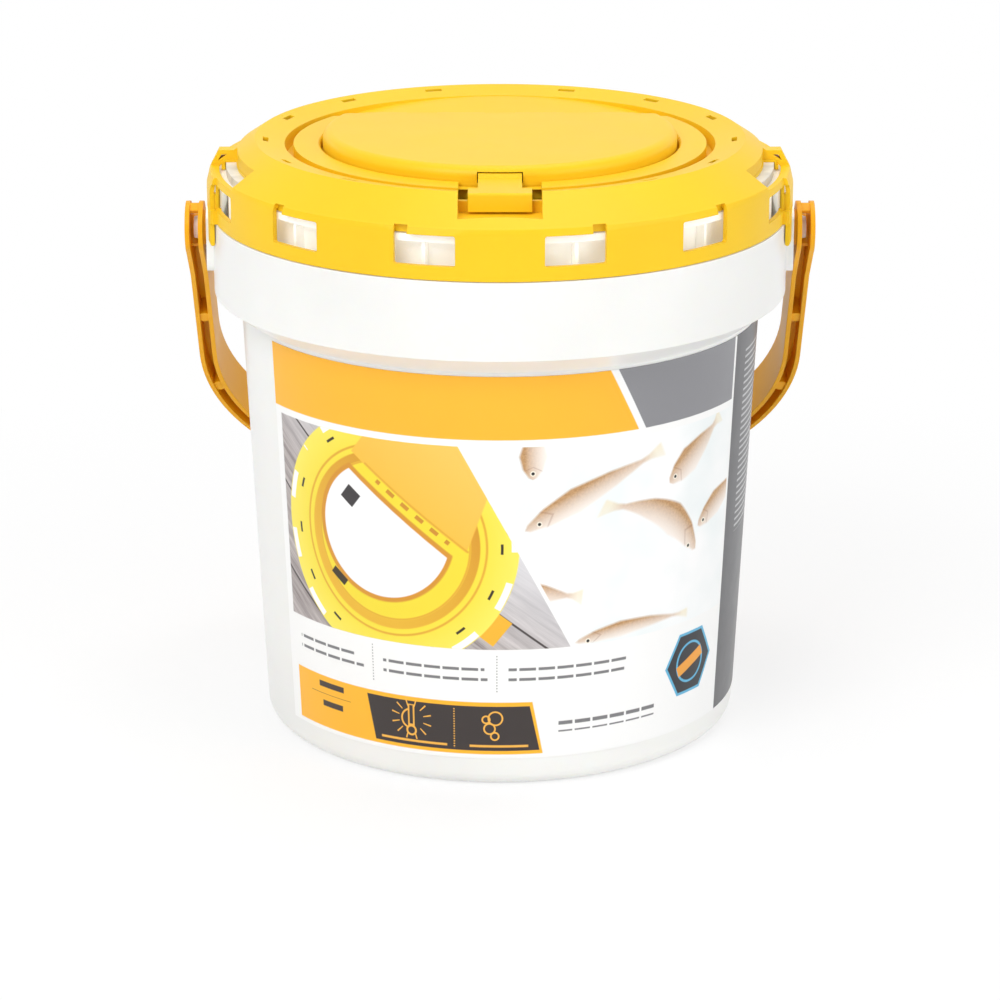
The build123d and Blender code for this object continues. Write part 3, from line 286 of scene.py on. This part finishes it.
# every length here is in mm: distance round the pail from the front towards +X, and height
LABEL_RADIUS = 114.0
PRINT_EDGE = 0.35
BAND_FOOT, BAND_TOP, BAND_LEAN = 164.6, 210.0, -0.503
PICTURE_FOOT, PICTURE_TOP, PICTURE_LEAN = 66.5, 161.4, -0.527
LID_MIDDLE, PIT_MIDDLE, LID_TURN = (-50.0, 114.5), (-53.0, 118.6), -38.0
BOARDS_START = (-50.0, 114.0)
BULB, BULB_FOOT = (-41.6, 30.6), (-41.6, 25.0)
BUBBLES = (
    # middle and radius
    ((-2.1, 33.4), 3.2),
    ((-6.4, 32.8), 1.7),
    ((-4.8, 28.4), 2.5),
    ((-2.4, 24.8), 1.8),
)
BADGE = (100.4, 45.6)
PAPER, PRINT_AMBER, PRINT_GREY = ink(246, 246, 245), ink(253, 183, 36), ink(136, 136, 140)
PRINT_DARK, GOLD, SLATE = ink(52, 44, 42), ink(244, 180, 72), ink(90, 90, 93)
SMALL_PRINT, DIVIDER, SIDE_PRINT = ink(120, 120, 122), ink(150, 150, 150), ink(196, 196, 198)
BODY_OUTLINE = (
    # place along the body and half width there, both as a share
    (0.0, 0.0),
    (0.03, 0.3),
    (0.16, 0.74),
    (0.36, 1.0),
    (0.62, 0.66),
    (0.84, 0.2),
    (0.9, 0.26),
    (1.0, 0.62),
)
MINNOWS = (
    # head, tail, girth and rise of the back
    (-8.0, 93.5, 37.0, 89.5, 13.0, 1.5),
    (34.0, 68.0, 96.0, 70.5, 8.0, 3.0),
    (100.2, 111.0, 141.0, 128.0, 13.0, 2.0),
    (14.0, 146.0, 14.6, 176.0, 12.5, 0.0),
    (10.6, 122.3, 75.5, 153.0, 12.5, 2.4),
    (80.0, 136.0, 113.5, 160.0, 14.5, 0.0),
    (99.6, 100.2, 45.0, 130.0, 15.5, 9.0),
)
CAPTIONS = (
    # left, right, foot and height of the plain bars that stand for small print
    (-106.0, -70.0, 56.3, 1.4),
    (-106.0, -65.5, 51.5, 1.4),
    (-55.0, -7.0, 56.3, 1.4),
    (-55.0, -5.6, 51.5, 1.4),
    (3.8, 60.0, 56.3, 1.4),
    (3.8, 59.0, 51.5, 1.4),
    (27.0, 77.0, 29.2, 1.8),
    (27.0, 77.0, 25.8, 0.8),
)


class Print:
    """The label's artwork, each part of it printed over the last."""

    def __init__(self):
        self.finish = Finish("label_print")
        x, y, z = (self.finish.axis(letter) for letter in "XYZ")
        self.across = x.math("ARCTAN2", y * -1.0) * LABEL_RADIUS
        self.height = z * 1000.0
        self.shade = PAPER

    def lay(self, mask, colour):
        """Prints a colour over what is there."""
        self.shade = self.finish.blend(mask, self.shade, colour)

    def patch(self, left, right, low, high, left_lean=0.0, right_lean=0.0):
        """1 inside a box whose upright edges lean by so many mm for each mm above its foot."""
        above = self.height - low
        from_left = self.across - above * left_lean if left_lean else self.across
        from_right = self.across - above * right_lean if right_lean else self.across
        between = from_left.over(left, PRINT_EDGE) * from_right.under(right, PRINT_EDGE)
        return between * above.over(0.0, PRINT_EDGE) * above.under(high - low, PRINT_EDGE)

    def turned(self, middle, degrees):
        """Two coordinates from a middle point, the first turned so many degrees up from level."""
        turn = math.radians(degrees)
        right = self.across - middle[0]
        up = self.height - middle[1]
        along = right * math.cos(turn) + up * math.sin(turn)
        rise = up * math.cos(turn) - right * math.sin(turn)
        return along, rise

    def distance(self, middle):
        """Distance in mm from a middle point."""
        right = self.across - middle[0]
        up = self.height - middle[1]
        return (right * right + up * up) ** 0.5

    def ring(self, middle, radius, width, soft=PRINT_EDGE):
        return self.distance(middle).near(radius, width / 2, soft)

    def block(self, middle, degrees, long, wide):
        along, rise = self.turned(middle, degrees)
        return along.size().under(long / 2, PRINT_EDGE) * rise.size().under(wide / 2, PRINT_EDGE)

    def minnow(self, area, head_x, head_y, tail_x, tail_y, girth, rise):
        """A plain minnow: its half width follows a curve along the body and spreads again in the tail."""
        length = math.hypot(tail_x - head_x, tail_y - head_y)
        turn = math.degrees(math.atan2(tail_y - head_y, tail_x - head_x))
        along, up = self.turned((head_x, head_y), turn)
        share = along / length
        bend = share * (1.0 - share) * (4.0 * rise)
        side = up * (1.0 if tail_x > head_x else -1.0) - bend
        stops = [(place, (half, half, half, 1.0)) for place, half in BODY_OUTLINE]
        half = self.finish.node("ValToRGB", {"stops": stops}, {0: share}) * (girth / 2)
        inside = (half - side.size()).ramp(-0.4, 0.9) * share.over(0.0, 0.004) * share.under(1.0, 0.02) * area
        belly = (side / girth).ramp(0.3, -0.42)
        scales = self.finish.noise(900.0, 3.0, 0.7).over(0.5, 0.5)
        back = self.finish.blend(scales, ink(168, 122, 74), ink(208, 166, 116))
        body = self.finish.blend(belly, back, ink(244, 228, 214))
        tail = share.over(0.9, 0.1)
        body = self.finish.blend(tail, body, ink(236, 222, 184))
        solid = 1.0 - belly * 0.4 - tail * 0.3
        self.lay(inside * solid, body)
        eye_place = 0.1
        eye = (head_x + eye_place * (tail_x - head_x), head_y + eye_place * (tail_y - head_y))
        from_eye = self.distance(eye)
        self.lay(from_eye.under(1.25, 0.4) * area, ink(246, 238, 222))
        self.lay(from_eye.under(0.75, 0.3) * area, ink(30, 26, 24))
        gill = (share - 0.2 - side.size() * (-0.2 / girth)).size().under(0.008, 0.012)
        self.lay(gill * inside * 0.35, ink(150, 96, 70))

    def planks(self, area):
        """Grey boards, their grain running down to the right."""
        board = 32.0
        along, rise = self.turned(BOARDS_START, LID_TURN)
        place = self.finish.node("CombineXYZ", None, {0: along * 0.02, 1: rise * 0.35})
        grain = self.finish.noise(1.0, 5.0, 0.65, place)
        shade = self.finish.blend(grain.ramp(0.3, 0.7), ink(126, 115, 114), ink(206, 198, 196))
        shade = self.finish.blend(rise.ramp(-10.0, 45.0), shade, ink(228, 228, 232))
        self.lay(area, shade)
        gap = (rise / board + 0.3).math("FRACT").near(0.5, 0.016, 0.012)
        self.lay(gap * area, ink(70, 62, 62))

    def lid_picture(self, area):
        """The lid from above with its door open, turned: rings, slots, windows, pit, housing and door."""
        yellow, deep, pale = ink(242, 219, 50), ink(226, 168, 40), ink(250, 232, 92)
        black = ink(44, 36, 22)
        outer, windows, slots, step, moat_outer, moat_inner = 58.5, 56.6, 51.0, 44.4, 41.5, 37.4
        radius = self.distance(LID_MIDDLE)
        along, rise = self.turned(LID_MIDDLE, LID_TURN)
        clock = rise.math("ARCTAN2", along) * (180.0 / math.pi)
        latch = self.block((-2.0, 76.0), 90.0 + LID_TURN, 14.0, 8.0)
        self.lay(latch * area, ink(240, 180, 40))
        self.lay(radius.under(outer, 0.5) * area, self.finish.blend(radius.ramp(40.0, 58.0), yellow, pale))
        self.lay(clock.beats(28.7, 0.24, 0.012) * radius.near(windows, 1.5, 0.3) * area, ink(250, 250, 250))
        self.lay(clock.beats(25.0, 0.11, 0.012) * radius.near(slots, 0.6, 0.3) * area, black)
        self.lay(radius.near(step, 0.5, 0.6) * area, deep)
        moat = radius.under(moat_outer, 0.6) * radius.over(moat_inner, 0.6) * area
        self.lay(moat, self.finish.blend(rise.ramp(-30.0, 30.0), ink(232, 180, 42), ink(214, 150, 30)))
        self.lay(radius.near(37.0, 0.4, 0.6) * area, deep)
        from_pit = self.distance(PIT_MIDDLE)
        _, chord = self.turned(PIT_MIDDLE, LID_TURN)
        self.lay(from_pit.under(33.4, 0.8) * chord.under(13.4, 0.8) * area, ink(214, 146, 36))
        self.lay(from_pit.under(31.2, 0.5) * chord.under(11.0, 0.6) * area, ink(247, 247, 247))
        self.lay(self.block((-69.0, 132.4), LID_TURN, 7.6, 7.6) * area, ink(58, 54, 56))
        self.lay(self.block((-77.0, 93.0), LID_TURN, 9.0, 3.8) * area, ink(56, 42, 20))
        door = rise.over(20.0, 0.6) * along.under(29.0, 0.6) * along.over(-38.0, 0.6)
        leaf = door * (along + rise * 0.33).under(36.0, 0.8) * area
        self.lay(leaf, self.finish.blend(rise.ramp(20.0, 60.0), ink(246, 190, 62), ink(252, 200, 92)))
        self.lay(rise.near(20.6, 0.5, 0.6) * along.size().under(30.0, 0.6) * area, deep)
        hinge = rise.near(18.2, 1.0, 0.4) * along.size().under(21.0, 0.5)
        self.lay(along.beats(8.4, 0.25, 0.03) * hinge * area, ink(206, 140, 34))

    def icons(self):
        """Line drawings on the dark panel: a thermometer between rays, and rising bubbles."""
        for middle, radius in BUBBLES:
            self.lay(self.ring(middle, radius, 0.75, 0.25), GOLD)
        right, up = self.turned(BULB, 0.0)
        clock = up.math("ARCTAN2", right) * (180.0 / math.pi)
        reach = self.distance(BULB)
        self.lay(clock.beats(30.0, 0.07, 0.03) * reach.near(8.0, 1.9, 0.3), GOLD)
        self.lay(reach.near(4.6, 0.4, 0.25) * right.under(0.0, 0.2), GOLD)
        self.lay(self.block((BULB[0], 31.6), 90.0, 12.0, 3.2), GOLD)
        self.lay(self.distance(BULB_FOOT).under(2.6, 0.3), GOLD)
        self.lay(self.block((BULB[0], 32.6), 90.0, 9.0, 1.7), PRINT_DARK)
        self.lay(self.distance(BULB_FOOT).under(1.7, 0.3), PRINT_DARK)
        for left, right in ((-57.0, -24.5), (-14.0, 13.0)):
            self.lay(self.patch(left, right, 19.4, 20.5), GOLD)
        self.lay(self.height.dashes(1.2, 0.5, 0.1) * self.patch(-21.4, -20.8, 18.6, 38.2), GOLD)

    def badge(self):
        """Plain six-sided badge: blue rim, dark field, a blue ring and a slanting amber bar."""
        blue, dark = ink(92, 176, 214), ink(36, 38, 44)
        along, rise = self.turned(BADGE, 0.0)
        six = (along.size() * 0.866 + rise.size() * 0.5).most(rise.size())
        self.lay(six.under(15.0, 0.3), blue)
        self.lay(six.under(13.7, 0.3), dark)
        self.lay(self.ring(BADGE, 9.4, 1.1), blue)
        self.lay(self.block(BADGE, 22.0, 19.0, 5.2), ink(238, 160, 52))

    def pictures(self):
        """The lid on boards at the left and minnows in water at the right, parted by a slanting gap."""
        left = self.patch(-112.0, 32.0, PICTURE_FOOT, PICTURE_TOP, right_lean=PICTURE_LEAN)
        right = self.patch(34.0, 124.0, PICTURE_FOOT, PICTURE_TOP, left_lean=PICTURE_LEAN)
        self.planks(left)
        self.lid_picture(left)
        water = self.finish.noise(30.0, 2.0).ramp(0.35, 0.65)
        self.lay(right, self.finish.blend(water, ink(238, 243, 243), ink(250, 250, 250)))
        for row in MINNOWS:
            self.minnow(right, *row)

    def captions(self):
        """Rows of plain bars in place of small print, and two dotted lines between them."""
        words = self.across.dashes(8.7, 0.87, 0.03)
        for start, stop, foot, tall in CAPTIONS:
            self.lay(self.patch(start, stop, foot, foot + tall) * words, SMALL_PRINT)
        for station in (-60.4, -1.4):
            dots = self.height.dashes(1.4, 0.5, 0.1)
            self.lay(dots * self.patch(station - 0.25, station + 0.25, 46.0, 64.0), DIVIDER)

    def foot_panel(self):
        """Amber panel at the foot with a dark field for the icons and plain bars beside it."""
        self.lay(self.patch(-110.2, 19.8, 16.0, 41.2, right_lean=-0.2), PRINT_AMBER)
        self.lay(self.patch(-60.2, 18.3, 17.7, 39.2, -0.19, -0.22), PRINT_DARK)
        self.lay(self.patch(-94.0, -78.0, 35.6, 38.4), ink(60, 48, 40))
        self.lay(self.patch(-92.0, -79.0, 26.4, 29.2), ink(60, 48, 40))
        self.lay(self.patch(-100.0, -74.0, 32.2, 32.5), ink(150, 104, 30))

    def side_panel(self):
        """Dark panel round the right side with rows of plain lines."""
        self.lay(self.patch(125.8, 260.0, 12.0, 210.0), SLATE)
        rows = self.height.dashes(3.1, 0.34, 0.08)
        self.lay(rows * self.patch(138.0, 214.0, 97.0, 184.0) * 0.8, SIDE_PRINT)

    def done(self):
        self.lay(self.patch(-150.0, 62.0, BAND_FOOT, BAND_TOP, right_lean=BAND_LEAN), PRINT_AMBER)
        self.lay(self.patch(65.6, 124.0, BAND_FOOT, BAND_TOP, left_lean=BAND_LEAN), PRINT_GREY)
        self.pictures()
        self.captions()
        self.foot_panel()
        self.icons()
        self.badge()
        self.side_panel()
        scuffs = self.finish.noise(120.0, 3.0)
        return self.finish.done(
            Base_Color=self.shade,
            Roughness=scuffs * 0.1 + 0.3,
            Normal=self.finish.bump(self.finish.noise(500.0, 2.0), 0.00002),
        )


AMBER = ink(250, 204, 32)
HANDLE_AMBER = ink(249, 178, 12)
# painted glow on the pail's rim band behind the lid's windows: low and high in metres and the glow's colour,
# brightening the shaded recess there
RIM_PAINTED_GLOW = (0.2385, 0.2575, (0.27, 0.26, 0.235, 1.0))
pail_white = moulded("pail_white", ink(243, 243, 240), 0.3, glow=0.1, painted_glow_band=RIM_PAINTED_GLOW)
lid_amber = moulded("lid_amber", AMBER, 0.42, glow=0.12, sheen=0.24)
handle_amber = moulded("handle_amber", HANDLE_AMBER, 0.42, glow=0.12, sheen=0.26)
housing_white = moulded("housing_white", ink(240, 240, 237), 0.36, glow=0.06)
pump_white = moulded("pump_white", ink(206, 206, 200), 0.5)
switch_black = moulded("switch_black", ink(26, 26, 28), 0.5, grain=0.00008)
foam_white = bead_foam()
seal_rubber = rubber("seal_rubber", ink(46, 46, 48))
gasket_silicone = rubber("gasket_silicone", ink(214, 212, 204))
pin_steel = metal("pin_steel", ink(196, 196, 198), 0.3)
motor_steel = metal("motor_steel", ink(172, 172, 175), 0.34)
contact_nickel = metal("contact_nickel", ink(214, 212, 206), 0.22)
sleeve = cell_sleeve()
label_print = Print().done()


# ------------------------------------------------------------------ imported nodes

MERGE = 2e-7
CREASE = 28.0
# the lid is open down to the gasket and the rim on both sides of each ear's strap: degrees and metres
EAR_ARCS = [(ear + start, ear + stop) for ear in (0, 180) for start, stop in ((-24.0, -2.1), (2.1, 24.0))]
EAR_SECTION = {"inner": 0.1192, "outer": 0.127, "low": 0.2575, "high": 0.2632}


def arc_blocks(arcs, inner, outer, low, high):
    """Closed blocks bent round Z, one per arc.

    Corner (r, z) of the section goes to (r cos a, r sin a, z), a running from start to stop degrees.
    """
    points, faces = [], []
    section = np.array([(inner, low), (outer, low), (outer, high), (inner, high)])
    steps = 24
    for start, stop in arcs:
        base = len(points)
        turn = np.radians(np.linspace(start, stop, steps + 1))
        grid = np.empty((steps + 1, 4, 3))
        grid[..., 0] = np.outer(np.cos(turn), section[:, 0])
        grid[..., 1] = np.outer(np.sin(turn), section[:, 0])
        grid[..., 2] = section[:, 1]
        points.extend(grid.reshape(-1, 3).tolist())
        cell = np.arange(steps * 4).reshape(steps, 4)
        after = np.roll(cell, -1, axis=1)
        sides = np.stack([cell, cell + 4, after + 4, after], axis=-1).reshape(-1, 4)
        faces.extend((sides + base).tolist())
        faces.append([base, base + 1, base + 2, base + 3])
        last = base + steps * 4
        faces.append([last + 3, last + 2, last + 1, last])
    mesh = bpy.data.meshes.new("arc_blocks")
    mesh.from_pydata(points, [], faces)
    return bpy.data.objects.new("arc_blocks", mesh)


def cut(piece, tool):
    """Takes the tool's volume away from a piece and throws the tool away."""
    bpy.context.scene.collection.objects.link(tool)
    step = piece.modifiers.new("cut", "BOOLEAN")
    step.operation = "DIFFERENCE"
    step.solver = "EXACT"
    step.object = tool
    graph = bpy.context.evaluated_depsgraph_get()
    mesh = bpy.data.meshes.new_from_object(piece.evaluated_get(graph))
    piece.modifiers.clear()
    piece.data = mesh
    bpy.data.objects.remove(tool)


def refined(node, body, material, tool=None):
    """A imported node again, its doubles merged and its curved faces shaded smooth."""
    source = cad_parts[node].data
    points = np.empty(len(source.vertices) * 3)
    source.vertices.foreach_get("co", points)
    corners = np.empty(len(source.loops), dtype=np.int64)
    source.loops.foreach_get("vertex_index", corners)
    keys = np.round(points.reshape(-1, 3) / MERGE).astype(np.int64)
    _, first, merged = np.unique(keys, axis=0, return_index=True, return_inverse=True)
    faces = merged.ravel()[corners].reshape(-1, 3)
    whole = (faces[:, 0] != faces[:, 1]) & (faces[:, 1] != faces[:, 2]) & (faces[:, 2] != faces[:, 0])
    mesh = bpy.data.meshes.new(node + "_skin")
    mesh.from_pydata(points.reshape(-1, 3)[first].tolist(), [], faces[whole].tolist())
    piece = bpy.data.objects.new(node + "_skin", mesh)
    bpy.context.scene.collection.objects.link(piece)
    if tool:
        cut(piece, tool)
    piece.data.shade_smooth()
    piece.data.set_sharp_from_angle(angle=math.radians(CREASE))
    piece.data.materials.clear()
    piece.data.materials.append(material)
    weigh = piece.modifiers.new("even_shading", "WEIGHTED_NORMAL")
    weigh.keep_sharp = True
    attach(piece, body)
    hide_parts(node)
    return piece


def dress(node, material):
    """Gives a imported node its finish."""
    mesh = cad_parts[node].data
    mesh.materials.clear()
    mesh.materials.append(material)


SMOOTH = (
    ("bucket_shell", "bucket", pail_white),
    ("foam_liner", "bucket", foam_white),
    ("wrap_label", "bucket", label_print),
    ("lid_ring", "lid", lid_amber),
    ("access_door", "door", lid_amber),
    ("latch_tongue", "latch", lid_amber),
    ("carry_handle", "handle", handle_amber),
    ("aerator_cover", "lid", housing_white),
    ("aerator_base", "lid", housing_white),
    ("outlet_nozzle", "lid", housing_white),
    ("lid_gasket", "lid", gasket_silicone),
    ("switch_button", "switch", switch_black),
)
for node, body, material in SMOOTH:
    tool = arc_blocks(EAR_ARCS, **EAR_SECTION) if node == "lid_ring" else None
    refined(node, body, material, tool=tool)
PLAIN = {
    "hinge_pin": pin_steel,
    "aerator_seal": seal_rubber,
    "cover_screws": pin_steel,
    "switch_well": switch_black,
    "batteries": sleeve,
    "battery_contacts": contact_nickel,
    "motor": motor_steel,
    "motor_cradle": housing_white,
    "pump_chamber": pump_white,
    "pump_diaphragm": seal_rubber,
    "pump_ring": pump_white,
    "pump_link": pump_white,
    "crank": pin_steel,
}
for node, material in PLAIN.items():
    dress(node, material)


# ------------------------------------------------------------------ studio

LENS, SHIFT = 131.7, -0.0536
VIEW_DISTANCE, VIEW_DROP, VIEW_TARGET = 1.7, 17.534, (0.0, 0.0, 0.125)
SKY_STRENGTH = 0.5
LAMPS = (
    # name, place, target, side in metres and power in watts
    ("key", (-0.9, -1.5, 1.7), (0.0, 0.0, 0.15), 1.1, 25.0),
    ("fill", (1.6, -1.1, 1.0), (0.0, 0.0, 0.15), 1.2, 11.0),
    ("top", (0.2, 0.4, 2.2), (0.0, 0.0, 0.25), 1.3, 12.5),
)


def floor():
    """Pale floor that the camera and mirrors see as white, apart from the object's shadow."""
    mesh = bpy.data.meshes.new("studio_floor")
    half = 6.0
    corners = [(-half, -half, 0), (half, -half, 0), (half, half, 0), (-half, half, 0)]
    mesh.from_pydata(corners, [], [(0, 1, 2, 3)])
    finish = Finish("studio_floor")
    grain = finish.noise(3.0, 2.0)
    x, y = finish.axis("X"), finish.axis("Y")
    shadow_inner, shadow_outer, least_white = 0.16, 0.55, 0.7
    away = ((x * x + y * y) ** 0.5).ramp(shadow_inner, shadow_outer)
    pale = finish.blend(grain.over(0.5, 1.0), ink(248, 248, 248), ink(252, 252, 252))
    camera_ray, glossy_ray, through_ray = (
        finish.node("LightPath", output="Is %s Ray" % kind) for kind in ("Camera", "Glossy", "Transmission")
    )
    white = camera_ray.most(glossy_ray).most(through_ray) * (away * (1.0 - least_white) + least_white)
    matt = finish.node("BsdfDiffuse", None, {"Color": pale})
    glow = finish.node("Emission", None, {"Color": (1.0, 1.0, 1.0, 1.0), "Strength": 1.0})
    mixed = finish.node("MixShader", None, {0: white, 1: matt, 2: glow})
    end = finish.tree.nodes.new("ShaderNodeOutputMaterial")
    finish.tree.links.new(mixed.socket, end.inputs["Surface"])
    mesh.materials.append(finish.material)
    piece = bpy.data.objects.new("studio_floor", mesh)
    bpy.context.scene.collection.objects.link(piece)


def lamp(name, place, target, size, power):
    """Square soft lamp at place, facing target."""
    data = bpy.data.lights.new(name, "AREA")
    data.shape = "SQUARE"
    data.size = size
    data.energy = power
    piece = bpy.data.objects.new(name, data)
    bpy.context.scene.collection.objects.link(piece)
    piece.location = place
    piece.rotation_euler = (Vector(target) - Vector(place)).to_track_quat("-Z", "Y").to_euler()


def sky(strength):
    """White backdrop for the camera and reflections, and a weaker even light for everything else."""
    world = bpy.data.worlds.new("sky")
    bpy.context.scene.world = world
    world.use_nodes = True
    tree = world.node_tree
    tree.nodes.clear()
    path = tree.nodes.new("ShaderNodeLightPath")
    seen = tree.nodes.new("ShaderNodeMath")
    seen.operation = "MAXIMUM"
    mirrored = tree.nodes.new("ShaderNodeMath")
    mirrored.operation = "MAXIMUM"
    level = tree.nodes.new("ShaderNodeMapRange")
    level.inputs["To Min"].default_value = strength
    level.inputs["To Max"].default_value = 1.0
    glow = tree.nodes.new("ShaderNodeBackground")
    glow.inputs["Color"].default_value = (1.0, 1.0, 1.0, 1.0)
    end = tree.nodes.new("ShaderNodeOutputWorld")
    tree.links.new(path.outputs["Is Camera Ray"], seen.inputs[0])
    tree.links.new(path.outputs["Is Glossy Ray"], mirrored.inputs[0])
    tree.links.new(path.outputs["Is Transmission Ray"], mirrored.inputs[1])
    tree.links.new(mirrored.outputs[0], seen.inputs[1])
    tree.links.new(seen.outputs[0], level.inputs["Value"])
    tree.links.new(level.outputs[0], glow.inputs["Strength"])
    tree.links.new(glow.outputs[0], end.inputs["Surface"])


def camera():
    """The photograph's view: 1.7 m off, 17.5 degrees down onto a point 125 mm up."""
    data = bpy.data.cameras.new("camera")
    data.sensor_width = 36.0
    data.lens = LENS
    data.shift_y = SHIFT
    data.clip_start = 0.05
    piece = bpy.data.objects.new("camera", data)
    bpy.context.scene.collection.objects.link(piece)
    drop = math.radians(VIEW_DROP)
    target = Vector(VIEW_TARGET)
    piece.location = target + VIEW_DISTANCE * Vector((0.0, -math.cos(drop), math.sin(drop)))
    piece.rotation_euler = (target - piece.location).to_track_quat("-Z", "Y").to_euler()
    bpy.context.scene.camera = piece


floor()
sky(SKY_STRENGTH)
for row in LAMPS:
    lamp(*row)
camera()
bpy.context.scene.view_settings.view_transform = "Standard"
